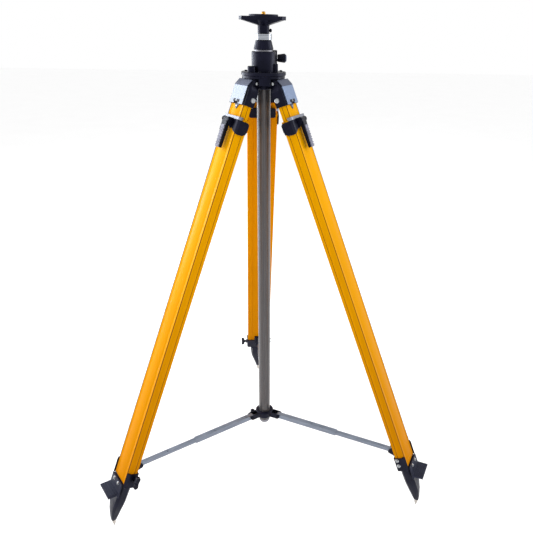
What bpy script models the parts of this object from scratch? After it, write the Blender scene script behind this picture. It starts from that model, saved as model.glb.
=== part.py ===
"""Elevating survey tripod: three telescopic fibreglass legs, a geared centre column and a spreader.

Units are metres and +Z is up. The feet stand on z = 0 and the centre column is on the Z axis.
Each leg is modelled in its own frame, an empty on the leg's hinge axis: X points out of the
leg's outer face, Y to the leg's left seen from outside, and Z up along the leg.
"""

import math

import bmesh
import bpy
from mathutils import Matrix, Vector

# Driving dimensions ---------------------------------------------------------------------------
MM = 0.001
GAP = 0.3 * MM

LEGS = {"rear": 90.0, "left": 210.0, "right": 330.0}
LEG_TILT = math.radians(22.04)
HINGE_RADIUS = 35.5 * MM
HINGE_HEIGHT = 1014 * MM
FOOT_REACH = 1090 * MM
FOOT_OFFSET = 9.8 * MM

# Leg tubes: outer and inner faces along X from the hinge axis, and half width along Y
FACE_OUT = 15.6 * MM
FACE_IN = -6.6 * MM
TUBE_HALF_WIDTH = 35 * MM
TUBE_WALL = 2.7 * MM
UPPER_INSET = TUBE_WALL + GAP
CORNER_WIDTH = 7 * MM
CORNER_DEPTH = 5 * MM
INNER_CORNER = 2.5 * MM
GROOVE_PLACE = 21 * MM
GROOVE_SIZE = 0.8 * MM
UPPER_LEG_SPAN = (14 * MM, 780 * MM)
LOWER_LEG_SPAN = (80 * MM, 956 * MM)

# Leg shoulder: a fork on the hub's tongue that widens into a box round the upper leg
SHOULDER_WALL = 2.4 * MM
SHOULDER_BOTTOM = 50 * MM
SHOULDER_BEND = 11 * MM
SHOULDER_WIDE = 17 * MM
EYE_RADIUS = 8 * MM
FORK_HALF_WIDTH = 27 * MM
FORK_GAP = 23.4 * MM
FORK_FLOOR = 9.5 * MM
PIN_RADIUS = 3.2 * MM
PIN_HALF_LENGTH = 29.7 * MM
BOLT_PLACE = (0.5 * MM, 35 * MM)
BOLT_RADIUS = 2.5 * MM

# Quick clamp at the top of the lower leg
CLAMP_SPAN = (75 * MM, 112 * MM)
CLAMP_WALL = 3.4 * MM
LEVER_PIVOT = (26 * MM, 87 * MM)
LEVER_LENGTH = 62 * MM
LEVER_HALF_WIDTH = 9 * MM

# Spreader bracket that slides on the lower leg, and its wing knob
BRACKET_SPAN = (924 * MM, 960 * MM)
BRACKET_WALL = 3 * MM
BRACKET_TOP = 905 * MM
STRUT_PIVOT = (25.4 * MM, 923.2 * MM)
WING_PLACE = (-1 * MM, 937 * MM)

# Shoe, pedal and spike
SHOE_TOP = 956.3 * MM
PLUG_TOP = 935 * MM
PEDAL_TOP = 957 * MM
PEDAL_DOWN = 980 * MM
PEDAL_REACH = 25.2 * MM
PEDAL_HALF_WIDTH = 27.5 * MM
PEDAL_RISE = math.radians(0.6)
PEDAL_THICK = 4.5 * MM
SPIKE_LENGTH = 18 * MM
SPIKE_SHANK = 16 * MM
SPIKE_RADIUS = 4.2 * MM

# Spreader
HUB_PIN_RADIUS = 42 * MM
HUB_PIN_HEIGHT = 150 * MM
HUB_TOP = 157.5 * MM
HUB_BOTTOM = 137 * MM
STRUT_HALF = 6 * MM
STRUT_WALL = 1.1 * MM
STRUT_TUBE_LENGTH = 168 * MM
STRUT_ROD_LENGTH = 158 * MM
STRUT_EYE = 4 * MM

# Head
FLANGE_RADIUS = 48 * MM
FLANGE_SPAN = (1028.5 * MM, 1036 * MM)
HUB_DISC_BOTTOM = 1023.5 * MM
HUB_DISC_RADIUS = 46 * MM
HUB_BOSS_RADIUS = 21 * MM
HUB_BOSS_LOW = 1000 * MM
TONGUE_RADIUS = 7.2 * MM
LUG_LOW = 1010 * MM
LUG_HALF_WIDTH = 12.6 * MM
LUG_GAP = 0.8 * MM
GUIDE_RADIUS = 15 * MM
GUIDE_BORE = 12.9 * MM
GUIDE_SPAN = (130 * MM, 1040 * MM)
HOUSING_RADIUS = 25.5 * MM
HOUSING_SPAN = (1036.3 * MM, 1076.3 * MM)
GEAR_BOX_X = (-17 * MM, 29.5 * MM)
GEAR_BOX_Y = (10 * MM, 39.5 * MM)
GEAR_BOX_Z = (1046.5 * MM, 1078 * MM)
SIDE_BOSS = (24.5 * MM, -11.5 * MM)
WASHER_SPAN = (1076.4 * MM, 1079.4 * MM)
WASHER_RADIUS = 19 * MM
SLEEVE_SPAN = (1079.7 * MM, 1098.2 * MM)
RING_SPAN = (1098.5 * MM, 1111.1 * MM)
RING_RADIUS = 17.5 * MM
NECK_RADIUS = 12.3 * MM
NECK_BOTTOM = 1111.4 * MM
PLATE_SPAN = (1137 * MM, 1144.3 * MM)
PAD_TOP = 1148 * MM
PAD_RADIUS = 31 * MM
LOBE_TURN = math.radians(-10)
LOBE_RADIUS = 52 * MM
LOBE_HALF_WIDTH = 11 * MM
WAIST_RADIUS = 25 * MM
COLUMN_RADIUS = 10 * MM
COLUMN_BORE = 6.5 * MM
COLUMN_SPAN = (660 * MM, 1124 * MM)

# Rack and pinion
MODULE = 1.5 * MM
PINION_TEETH = 16
PINION_RADIUS = MODULE * PINION_TEETH / 2
RACK_PITCH_LINE = 11.3 * MM
RACK_BACK = 8.3 * MM
TOOTH_TIP = 1.2 * MM
TOOTH_ROOT = 1.5 * MM
TOOTH_THICKNESS = 1.8 * MM
SHAFT_HEIGHT = 1062 * MM
SHAFT_OFFSET = RACK_PITCH_LINE + PINION_RADIUS
SHAFT_RADIUS = 3 * MM
RACK_TEETH = 79
RACK_HALF_WIDTH = 3 * MM

# Level and lock knobs
LEVEL_PLACE = (-26.5 * MM, -21.8 * MM)
LEVEL_RADIUS = 8.4 * MM
LEVEL_TOP = 1048 * MM
PLATE_KNOB_HEIGHT = 1117.2 * MM
HUB_KNOB_AZIMUTH = math.radians(180)
HUB_KNOB_HEIGHT = 151 * MM


# Scene and materials --------------------------------------------------------------------------
def clear_scene():
    for obj in list(bpy.data.objects):
        bpy.data.objects.remove(obj, do_unlink=True)


def make_material(name, colour, roughness, metallic=0.0):
    material = bpy.data.materials.new(name)
    material.use_nodes = True
    shader = material.node_tree.nodes["Principled BSDF"]
    shader.inputs["Base Color"].default_value = (*colour, 1.0)
    shader.inputs["Roughness"].default_value = roughness
    shader.inputs["Metallic"].default_value = metallic
    material.diffuse_color = (*colour, 1.0)
    return material


def make_materials():
    return {
        "fibreglass": make_material("yellow_fibreglass", (0.95, 0.56, 0.02), 0.4),
        "casting": make_material("black_casting", (0.02, 0.02, 0.025), 0.45),
        "aluminium": make_material("satin_aluminium", (0.6, 0.62, 0.66), 0.35, 1.0),
        "tube": make_material("grey_tube", (0.35, 0.34, 0.34), 0.35, 1.0),
        "steel": make_material("bright_steel", (0.7, 0.7, 0.7), 0.3, 1.0),
        "brass": make_material("brass", (0.7, 0.45, 0.12), 0.35, 1.0),
        "knob": make_material("black_plastic", (0.015, 0.015, 0.018), 0.5),
        "glass": make_material("level_glass", (0.7, 0.8, 0.3), 0.1),
    }


# Shapes ---------------------------------------------------------------------------------------
def finish_mesh(name, bm, smooth):
    bmesh.ops.recalc_face_normals(bm, faces=bm.faces)
    mesh = bpy.data.meshes.new(name)
    bm.to_mesh(mesh)
    bm.free()
    if smooth:
        mesh.shade_smooth()
        mesh.set_sharp_from_angle(angle=math.radians(35))
    return mesh


def add_object(name, mesh, material=None, parent=None, place=Matrix()):
    obj = bpy.data.objects.new(name, mesh)
    bpy.context.scene.collection.objects.link(obj)
    if material:
        mesh.materials.append(material)
    obj.parent = parent
    obj.matrix_local = place
    return obj


def add_frame(name, place, parent=None):
    frame = bpy.data.objects.new(name, None)
    bpy.context.scene.collection.objects.link(frame)
    frame.parent = parent
    frame.matrix_local = place
    frame.empty_display_size = 0.03
    return frame


def loft(rings):
    """A closed solid through rings of equally many points, with flat ends."""
    bm = bmesh.new()
    loops = [[bm.verts.new(point) for point in ring] for ring in rings]
    for low, high in zip(loops, loops[1:]):
        for i in range(len(low)):
            j = (i + 1) % len(low)
            bm.faces.new((low[i], low[j], high[j], high[i]))
    bm.faces.new(loops[0])
    bm.faces.new(loops[-1])
    return bm


def prism(outline, low, high, along="Z"):
    """A 2D outline extruded along Z (outline in X, Y), along Y (X, Z) or along X (Y, Z)."""
    placed = {
        "Z": lambda a, b, c: (a, b, c),
        "Y": lambda a, b, c: (a, c, b),
        "X": lambda a, b, c: (c, a, b),
    }[along]
    return loft([[placed(a, b, c) for a, b in outline] for c in (low, high)])


def tube(outer, inner, low, high):
    """A hollow prism along Z between two outlines of equally many points, open at both ends."""
    bm = bmesh.new()
    loops = [
        [bm.verts.new((x, y, z)) for x, y in outline]
        for outline, z in ((outer, low), (outer, high), (inner, high), (inner, low))
    ]
    for first, second in zip(loops, loops[1:] + loops[:1]):
        for i in range(len(first)):
            j = (i + 1) % len(first)
            bm.faces.new((first[i], first[j], second[j], second[i]))
    return bm


def turned(profile, segments=24, closed=False):
    """A profile of (radius, height) points turned about Z; closed joins its last point to its first."""
    bm = bmesh.new()
    rings = []
    for radius, height in profile:
        if radius == 0:
            rings.append([bm.verts.new((0, 0, height))])
            continue
        angles = [2 * math.pi * i / segments for i in range(segments)]
        rings.append([bm.verts.new((radius * math.cos(a), radius * math.sin(a), height)) for a in angles])
    pairs = list(zip(rings, rings[1:]))
    if closed:
        pairs.append((rings[-1], rings[0]))
    for first, second in pairs:
        for i in range(segments):
            j = (i + 1) % segments
            corners = [first[i % len(first)], first[j % len(first)], second[j % len(second)]]
            corners.append(second[i % len(second)])
            bm.faces.new(list(dict.fromkeys(corners)))
    return bm


def cylinder(radius, low, high, segments=24):
    return turned([(0, low), (radius, low), (radius, high), (0, high)], segments)


def box_outline(left, right, bottom, top):
    return [(left, bottom), (right, bottom), (right, top), (left, top)]


def circle_outline(centre, radius, start, end, steps):
    """Points on an arc from start to end, in degrees."""
    angles = [math.radians(start + (end - start) * i / steps) for i in range(steps + 1)]
    return [(centre[0] + radius * math.cos(a), centre[1] + radius * math.sin(a)) for a in angles]


def turn_to(axis, place=(0, 0, 0)):
    """A matrix that puts the Z axis of a turned shape along an axis, through a place."""
    return Matrix.Translation(place) @ Vector((0, 0, 1)).rotation_difference(Vector(axis)).to_matrix().to_4x4()


def combine(target, bm, operation, place=Matrix()):
    """Joins a shape to target, or cuts it out, with a Boolean modifier and a hidden helper."""
    helper_name = f"{target.name}_{operation.lower()}_{len(target.modifiers)}"
    helper = add_object(helper_name, finish_mesh(helper_name, bm, False), None, target, place)
    helper.hide_render = True
    helper.display_type = "WIRE"
    modifier = target.modifiers.new(operation.title(), "BOOLEAN")
    modifier.operation = operation
    modifier.solver = "EXACT"
    modifier.object = helper


def join(target, bm, place=Matrix()):
    combine(target, bm, "UNION", place)


def cut(target, bm, place=Matrix()):
    combine(target, bm, "DIFFERENCE", place)


def leg_outline(grow=0.0, groove=0.0):
    """The leg tube's outline in X, Y: broad chamfers outside, small ones and two grooves inside."""
    half = TUBE_HALF_WIDTH + grow
    outer = FACE_OUT + grow
    inner = FACE_IN - grow
    side = [
        (outer, half - CORNER_WIDTH),
        (outer - CORNER_DEPTH, half),
        (inner + INNER_CORNER, half),
        (inner, half - INNER_CORNER),
        (inner, GROOVE_PLACE + GROOVE_SIZE),
        (inner + groove, GROOVE_PLACE),
        (inner, GROOVE_PLACE - GROOVE_SIZE),
    ]
    return side + [(x, -y) for x, y in reversed(side)]


# Leg parts, each in the leg frame -------------------------------------------------------------
def build_hinge_pin(leg, frame, materials):
    mesh = finish_mesh("hinge_pin", cylinder(PIN_RADIUS, -PIN_HALF_LENGTH, PIN_HALF_LENGTH, 16), True)
    add_object(f"hinge_pin_{leg}", mesh, materials["steel"], frame, turn_to((0, 1, 0)))


def shoulder_ring(outer, inner, half, height):
    corner = CORNER_DEPTH - MM
    ring = [
        (outer, -half + corner), (outer, half - corner), (outer - corner, half),
        (inner, half), (inner, -half), (outer - corner, -half),
    ]
    return [(x, y, height) for x, y in ring]


def build_shoulder(leg, frame, materials):
    grow = SHOULDER_WALL + GAP - UPPER_INSET
    wide = (FACE_OUT + grow, FACE_IN - grow, TUBE_HALF_WIDTH + grow)
    body = loft([
        shoulder_ring(*wide, -SHOULDER_BOTTOM),
        shoulder_ring(*wide, -SHOULDER_WIDE),
        shoulder_ring(wide[0], wide[1], TUBE_HALF_WIDTH - 3 * MM, -SHOULDER_BEND),
        shoulder_ring(13 * MM, -EYE_RADIUS + MM, FORK_HALF_WIDTH, -3.5 * MM),
        shoulder_ring(9.5 * MM, -EYE_RADIUS + 3 * MM, FORK_HALF_WIDTH, 3.5 * MM),
    ])
    shoulder = add_object(f"leg_shoulder_{leg}", finish_mesh("leg_shoulder", body, False), materials["casting"], frame)
    join(shoulder, cylinder(EYE_RADIUS, -FORK_HALF_WIDTH + GAP, FORK_HALF_WIDTH - GAP, 20), turn_to((0, 1, 0)))
    slot = [(-0.03, 0.02), (-0.03, -FORK_FLOOR), (11.6 * MM, -FORK_FLOOR), (9.8 * MM, -4 * MM), (0.3 * MM, 0.02)]
    cut(shoulder, prism(slot, -FORK_GAP, FORK_GAP, "Y"))
    cut(shoulder, prism(leg_outline(GAP - UPPER_INSET), -SHOULDER_BOTTOM - MM, GAP - UPPER_LEG_SPAN[0]))
    cut(shoulder, cylinder(PIN_RADIUS + GAP, -0.05, 0.05, 16), turn_to((0, 1, 0)))
    cut(shoulder, cylinder(BOLT_RADIUS + GAP, -0.05, 0.05, 12), bolt_place())


def bolt_place():
    return turn_to((0, 1, 0), (BOLT_PLACE[0], 0, -BOLT_PLACE[1]))


def build_shoulder_bolt(leg, frame, materials):
    face = TUBE_HALF_WIDTH + SHOULDER_WALL - UPPER_INSET + 2 * GAP
    head = 4.8 * MM
    profile = [
        (0, -face - 3 * MM), (head - MM, -face - 3 * MM), (head, -face - 2.2 * MM), (head, -face),
        (BOLT_RADIUS, -face), (BOLT_RADIUS, face),
        (head, face), (head, face + 2.2 * MM), (head - MM, face + 3 * MM), (0, face + 3 * MM),
    ]
    mesh = finish_mesh("shoulder_bolt", turned(profile, 12), True)
    add_object(f"shoulder_bolt_{leg}", mesh, materials["steel"], frame, bolt_place())


def build_upper_leg(leg, frame, materials):
    walls = tube(leg_outline(-UPPER_INSET), leg_outline(-UPPER_INSET - 2 * MM), -UPPER_LEG_SPAN[1], -UPPER_LEG_SPAN[0])
    upper = add_object(f"upper_leg_{leg}", finish_mesh("upper_leg", walls, False), materials["fibreglass"], frame)
    cut(upper, cylinder(BOLT_RADIUS + GAP, -0.05, 0.05, 12), bolt_place())


def build_lower_leg(leg, frame, materials):
    walls = tube(leg_outline(0, GROOVE_SIZE), leg_outline(-TUBE_WALL), -LOWER_LEG_SPAN[1], -LOWER_LEG_SPAN[0])
    add_object(f"lower_leg_{leg}", finish_mesh("lower_leg", walls, False), materials["fibreglass"], frame)


def build_clamp(leg, frame, materials):
    top, bottom = CLAMP_SPAN
    body = prism(leg_outline(CLAMP_WALL), -bottom, -top)
    clamp = add_object(f"clamp_body_{leg}", finish_mesh("clamp_body", body, False), materials["casting"], frame)
    ear_outline = circle_outline((LEVER_PIVOT[0], -LEVER_PIVOT[1]), 6 * MM, -40, 110, 5)
    ear_outline += [(FACE_OUT + MM, -top - MM), (FACE_OUT + MM, -bottom + 8 * MM)]
    for side in (-1, 1):
        low, high = sorted((side * (LEVER_HALF_WIDTH + 0.4 * MM), side * (LEVER_HALF_WIDTH + 3.4 * MM)))
        join(clamp, prism(ear_outline, low, high, "Y"))
    cut(clamp, prism(leg_outline(GAP), -bottom - MM, GAP - LOWER_LEG_SPAN[0]))
    cut(clamp, prism(leg_outline(GAP - UPPER_INSET), -bottom, -top + MM))
    for side in (-1, 1):
        near, far = sorted((side * 22 * MM, side * 60 * MM))
        window = prism(box_outline(-13 * MM, FACE_IN + 5 * MM, near, far), -bottom - MM, -LOWER_LEG_SPAN[0] - 4 * MM)
        cut(clamp, window)


def build_lever(leg, frame, materials):
    """The cam lever; its origin is on its pivot and its arm hangs along the outer face."""
    thick = 4.2 * MM
    outline = circle_outline((0, 0), 5.5 * MM, -60, 180, 8)
    outline += [(-4.6 * MM, -6 * MM), (-2.2 * MM, -12 * MM), (-2.2 * MM, -LEVER_LENGTH + MM)]
    outline += [(-1.2 * MM, -LEVER_LENGTH), (thick - 1.4 * MM, -LEVER_LENGTH), (thick + 0.6 * MM, -LEVER_LENGTH + 3 * MM)]
    outline += [(thick + 1.6 * MM, -14 * MM)]
    mesh = finish_mesh("clamp_lever", prism(outline, -LEVER_HALF_WIDTH, LEVER_HALF_WIDTH, "Y"), True)
    place = Matrix.Translation((LEVER_PIVOT[0], 0, -LEVER_PIVOT[1]))
    add_object(f"clamp_lever_{leg}", mesh, materials["knob"], frame, place)


def build_bracket(leg, frame, materials):
    """The spreader bracket: cheeks round the tube, open on the outer face, with a forked tongue."""
    top, bottom = BRACKET_SPAN
    body = prism(leg_outline(BRACKET_WALL), -bottom, -top)
    bracket = add_object(f"strut_bracket_{leg}", finish_mesh("strut_bracket", body, False), materials["casting"], frame)
    back = FACE_IN - GAP
    tongue = box_outline(-14 * MM, 14 * MM, -bottom + 2 * MM, -BRACKET_TOP)
    join(bracket, prism(tongue, back - BRACKET_WALL, back, "X"))
    pivot = (-STRUT_PIVOT[0], -STRUT_PIVOT[1])
    ear = [(back - MM, -BRACKET_TOP - MM)] + circle_outline(pivot, 6 * MM, 100, 260, 5)
    ear += [(back - MM, -top - 22 * MM)]
    for side in (-1, 1):
        low, high = sorted((side * (STRUT_HALF + 1.2 * MM), side * (STRUT_HALF + 4.2 * MM)))
        join(bracket, prism(ear, low, high, "Y"))
    boss_low = TUBE_HALF_WIDTH + MM
    join(bracket, cylinder(6 * MM, boss_low, boss_low + 6 * MM, 12), wing_place())
    cut(bracket, prism(leg_outline(GAP), -bottom - MM, -BRACKET_TOP + MM))
    opening = TUBE_HALF_WIDTH - CORNER_WIDTH + 3 * MM
    cut(bracket, prism(box_outline(0, 0.03, -opening, opening), -bottom - MM, -top + MM))
    cut(bracket, cylinder(2.8 * MM, 0.02, 0.06, 12), wing_place())


def wing_place():
    return turn_to((0, 1, 0), (WING_PLACE[0], 0, -WING_PLACE[1]))


def build_wing_knob(leg, frame, materials):
    """The wing knob on the left cheek: a screw with a bar across its end. Local Z is its axis."""
    start = TUBE_HALF_WIDTH + 0.6 * MM
    handle = start + 9.4 * MM
    profile = [(0, start), (2.5 * MM, start), (2.5 * MM, handle + 2 * MM), (0, handle + 2 * MM)]
    mesh = finish_mesh("wing_knob", turned(profile, 12), True)
    knob = add_object(f"wing_knob_{leg}", mesh, materials["knob"], frame, wing_place())
    bar = circle_outline((0, 9.5 * MM), 4.5 * MM, 10, 170, 5) + circle_outline((0, -9.5 * MM), 4.5 * MM, 190, 350, 5)
    join(knob, prism(bar, handle, handle + 8.5 * MM))


def build_shoe(leg, frame, materials):
    """The shoe casting: a plug in the tube, a band flush with it, then a taper to the spike."""
    drop = Vector((-math.sin(LEG_TILT), 0, -math.cos(LEG_TILT)))
    tip = Vector((-FOOT_OFFSET, 0, -FOOT_REACH))
    root = tip - drop * (SPIKE_LENGTH + MM)
    levels = [
        (11.5 * MM, 34 * MM, 4.5 * MM, 960.8 * MM, 0),
        (13 * MM, 26.5 * MM, 4.6 * MM, 968 * MM, 0),
        (13 * MM, 24.5 * MM, 4.6 * MM, 996 * MM, 0),
        (13 * MM, 22.5 * MM, 4.2 * MM, 1013 * MM, 0.03),
        (11.5 * MM, 14 * MM, 1.8 * MM, 1042 * MM, 0.15),
        (8.5 * MM, 8.5 * MM, -1 * MM, 1062 * MM, 0.28),
        (5.8 * MM, 6.2 * MM, root.x, -root.z, LEG_TILT),
    ]
    rings = []
    for deep, width, centre, down, lean in levels:
        place = [(centre + x * math.cos(lean), y, -down - x * math.sin(lean)) for x, y in chamfered(deep, width)]
        rings.append(place)
    shoe = add_object(f"shoe_{leg}", finish_mesh("shoe", loft(rings), True), materials["casting"], frame)
    join(shoe, prism(leg_outline(), -962 * MM, -SHOE_TOP))
    join(shoe, prism(leg_outline(-TUBE_WALL - GAP), -964 * MM, -PLUG_TOP))
    shank = cylinder(SPIKE_RADIUS + GAP, SPIKE_LENGTH - 4 * MM, SPIKE_LENGTH + SPIKE_SHANK + GAP, 12)
    cut(shoe, shank, spike_place())


def chamfered(depth, width, corner=0.28):
    """An eight-sided outline with half sizes depth (X) and width (Y)."""
    a = corner * min(depth, width) * 1.6
    side = [(depth, width - a), (depth - a, width), (-depth + a, width), (-depth, width - a)]
    return side + [(x, -y) for x, y in reversed(side)]


def spike_place():
    """The spike's frame: its tip at the origin, and Z upright when the leg is spread."""
    return Matrix.Translation((-FOOT_OFFSET, 0, -FOOT_REACH)) @ Matrix.Rotation(LEG_TILT, 4, "Y")


def build_spike(leg, frame, materials):
    top = SPIKE_LENGTH + SPIKE_SHANK
    profile = [
        (0, 0), (0.9 * MM, 0), (SPIKE_RADIUS, 10 * MM), (SPIKE_RADIUS, top), (0, top),
    ]
    mesh = finish_mesh("spike", turned(profile, 12), True)
    add_object(f"spike_{leg}", mesh, materials["steel"], frame, spike_place())


def build_pedal(leg, frame, materials):
    """The step pedal: a flange on the leg's outer face and a tread tipped up a little."""
    face = FACE_OUT + 2.6 * MM
    heel, out, up = pedal_shape()
    outline = [
        (face, -PEDAL_TOP), (face + 3.5 * MM, -PEDAL_TOP), tuple(heel), tuple(heel + out * PEDAL_REACH),
        tuple(heel + out * PEDAL_REACH - up * PEDAL_THICK), tuple(heel + out * 5 * MM - up * (PEDAL_THICK + MM)),
        (face + 3.5 * MM, -PEDAL_DOWN - 13 * MM), (face, -PEDAL_DOWN - 13 * MM),
    ]
    mesh = finish_mesh("step_pedal", prism(outline, -PEDAL_HALF_WIDTH, PEDAL_HALF_WIDTH, "Y"), False)
    add_object(f"step_pedal_{leg}", mesh, materials["casting"], frame)


def build_leg(leg, azimuth, materials):
    place = Matrix.Rotation(math.radians(azimuth), 4, "Z")
    place = place @ Matrix.Translation((HINGE_RADIUS, 0, HINGE_HEIGHT)) @ Matrix.Rotation(-LEG_TILT, 4, "Y")
    frame = add_frame(f"leg_frame_{leg}", place)
    for build in (
        build_hinge_pin, build_shoulder, build_shoulder_bolt, build_upper_leg, build_lower_leg, build_clamp,
        build_lever, build_bracket, build_wing_knob, build_shoe, build_spike, build_pedal,
    ):
        build(leg, frame, materials)


# Spreader -------------------------------------------------------------------------------------
def strut_frame(azimuth):
    """A frame on the strut's hub pin, with X along the strut towards the leg's bracket pivot."""
    reach = HINGE_RADIUS + STRUT_PIVOT[1] * math.sin(LEG_TILT) - STRUT_PIVOT[0] * math.cos(LEG_TILT)
    height = HINGE_HEIGHT - STRUT_PIVOT[1] * math.cos(LEG_TILT) - STRUT_PIVOT[0] * math.sin(LEG_TILT)
    span = Vector((reach - HUB_PIN_RADIUS, height - HUB_PIN_HEIGHT))
    slope = math.atan2(-span.y, span.x)
    place = Matrix.Rotation(math.radians(azimuth), 4, "Z")
    place = place @ Matrix.Translation((HUB_PIN_RADIUS, 0, HUB_PIN_HEIGHT)) @ Matrix.Rotation(slope, 4, "Y")
    return place, span.length


def build_strut(leg, azimuth, materials):
    place, length = strut_frame(azimuth)
    frame = add_frame(f"strut_frame_{leg}", place)
    half = STRUT_HALF
    bar = circle_outline((0, 0), half, 90, 270, 6) + [(STRUT_TUBE_LENGTH, -half), (STRUT_TUBE_LENGTH, half)]
    mesh = finish_mesh("strut", prism(bar, -half, half, "Y"), False)
    strut = add_object(f"strut_{leg}", mesh, materials["aluminium"], frame)
    hollow = half - STRUT_WALL
    bore = box_outline(-hollow, hollow, -hollow, hollow)
    cut(strut, prism(bore, 9 * MM, STRUT_TUBE_LENGTH + MM, "X"))
    cut(strut, cylinder(2.3 * MM, -0.02, 0.02, 12), turn_to((0, 1, 0)))
    rod_half = hollow - GAP
    eye = STRUT_EYE
    outline = [(length - STRUT_ROD_LENGTH, -rod_half), (length - 9 * MM, -rod_half)]
    outline += circle_outline((length, 0), eye, -70, 70, 5)
    outline += [(length - 9 * MM, rod_half), (length - STRUT_ROD_LENGTH, rod_half)]
    mesh = finish_mesh("strut_rod", prism(outline, -rod_half, rod_half, "Y"), False)
    add_object(f"strut_rod_{leg}", mesh, materials["aluminium"], frame)


def build_spreader_hub(materials):
    bore = GUIDE_RADIUS + 0.4 * MM
    profile = [
        (bore, HUB_BOTTOM), (18.5 * MM, HUB_BOTTOM), (21.5 * MM, HUB_BOTTOM + 4 * MM), (21.5 * MM, 147 * MM),
        (23.7 * MM, 148.5 * MM), (23.7 * MM, HUB_TOP - 1.5 * MM), (22.5 * MM, HUB_TOP), (bore, HUB_TOP),
    ]
    mesh = finish_mesh("spreader_hub", turned(profile, 32, True), True)
    hub = add_object("spreader_hub", mesh, materials["casting"])
    inner = STRUT_HALF + 0.6 * MM
    pin = (HUB_PIN_RADIUS, HUB_PIN_HEIGHT)
    ear = [(18 * MM, pin[1] - 6.5 * MM)] + circle_outline(pin, 6.5 * MM, -90, 90, 6) + [(18 * MM, pin[1] + 6.5 * MM)]
    for azimuth in LEGS.values():
        turn = Matrix.Rotation(math.radians(azimuth), 4, "Z")
        for side in (-1, 1):
            low, high = sorted((side * inner, side * (inner + 3.2 * MM)))
            join(hub, prism(ear, low, high, "Y"), turn)
        join(hub, cylinder(2 * MM, -inner - MM, inner + MM, 12), turn @ turn_to((0, 1, 0), (pin[0], 0, pin[1])))
    axis = (math.cos(HUB_KNOB_AZIMUTH), math.sin(HUB_KNOB_AZIMUTH), 0)
    cut(hub, cylinder(2.8 * MM, 10 * MM, 30 * MM, 12), turn_to(axis, (0, 0, HUB_KNOB_HEIGHT)))


def build_hub_knob(materials):
    start = GUIDE_RADIUS + 0.8 * MM
    profile = [
        (0, start), (2.4 * MM, start), (2.4 * MM, 27 * MM), (5 * MM, 28.5 * MM), (6.2 * MM, 31 * MM),
        (6.2 * MM, 35 * MM), (4.6 * MM, 38 * MM), (0, 38.6 * MM),
    ]
    axis = (math.cos(HUB_KNOB_AZIMUTH), math.sin(HUB_KNOB_AZIMUTH), 0)
    mesh = finish_mesh("hub_knob", turned(profile, 16), True)
    add_object("hub_knob", mesh, materials["knob"], None, turn_to(axis, (0, 0, HUB_KNOB_HEIGHT)))


def build_guide_tube(materials):
    low, high = GUIDE_SPAN
    profile = [(GUIDE_BORE, low), (GUIDE_RADIUS, low), (GUIDE_RADIUS, high), (GUIDE_BORE, high)]
    mesh = finish_mesh("guide_tube", turned(profile, 32, True), True)
    add_object("guide_tube", mesh, materials["tube"])
    top = low - GAP
    plug = [
        (0, top - 13 * MM), (7 * MM, top - 12.4 * MM), (12 * MM, top - 9 * MM), (14.2 * MM, top - 4 * MM),
        (14.8 * MM, top), (GUIDE_BORE - GAP, top), (GUIDE_BORE - GAP, top + 14 * MM), (0, top + 14 * MM),
    ]
    mesh = finish_mesh("tube_end_plug", turned(plug, 24), True)
    add_object("tube_end_plug", mesh, materials["tube"])


# Head -----------------------------------------------------------------------------------------
def build_head_hub(materials):
    """The hub: a flange and a boss round the guide tube, a tongue for each leg and a lug between legs."""
    low = HUB_DISC_BOTTOM
    rim, high = FLANGE_SPAN
    bore = GUIDE_RADIUS + GAP
    edge = 1.2 * MM
    profile = [
        (bore, HUB_BOSS_LOW), (HUB_BOSS_RADIUS - 2 * MM, HUB_BOSS_LOW), (HUB_BOSS_RADIUS, HUB_BOSS_LOW + 2 * MM),
        (HUB_BOSS_RADIUS, low), (HUB_DISC_RADIUS, low), (HUB_DISC_RADIUS, rim), (FLANGE_RADIUS - edge, rim),
        (FLANGE_RADIUS, rim + edge), (FLANGE_RADIUS, high - edge), (FLANGE_RADIUS - edge, high), (bore, high),
    ]
    hub = add_object("head_hub", finish_mesh("head_hub", turned(profile, 40, True), True), materials["casting"])
    pin = (HINGE_RADIUS, HINGE_HEIGHT)
    tongue = [(18 * MM, low + MM), (18 * MM, pin[1] - TONGUE_RADIUS)]
    tongue += circle_outline(pin, TONGUE_RADIUS, -90, 0, 4) + [(pin[0] + MM, low + MM)]
    half = FORK_GAP - 0.5 * MM
    side = FORK_HALF_WIDTH + LUG_GAP
    root = (side + LUG_HALF_WIDTH / 2) / math.cos(math.radians(30))
    lug = [
        (side / math.cos(math.radians(30)) + 0.5 * MM, 0), (root, -LUG_HALF_WIDTH), (HUB_DISC_RADIUS, -LUG_HALF_WIDTH),
        (HUB_DISC_RADIUS, LUG_HALF_WIDTH), (root, LUG_HALF_WIDTH),
    ]
    for azimuth in LEGS.values():
        turn = Matrix.Rotation(math.radians(azimuth), 4, "Z")
        join(hub, prism(tongue, -half, half, "Y"), turn)
        join(hub, prism(lug, LUG_LOW, low + MM), Matrix.Rotation(math.radians(azimuth + 60), 4, "Z"))
        cut(hub, cylinder(PIN_RADIUS + GAP, -0.05, 0.05, 16), turn @ turn_to((0, 1, 0), (pin[0], 0, pin[1])))
    cut(hub, cylinder(bore, HUB_BOSS_LOW - MM, high + MM, 40))


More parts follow.
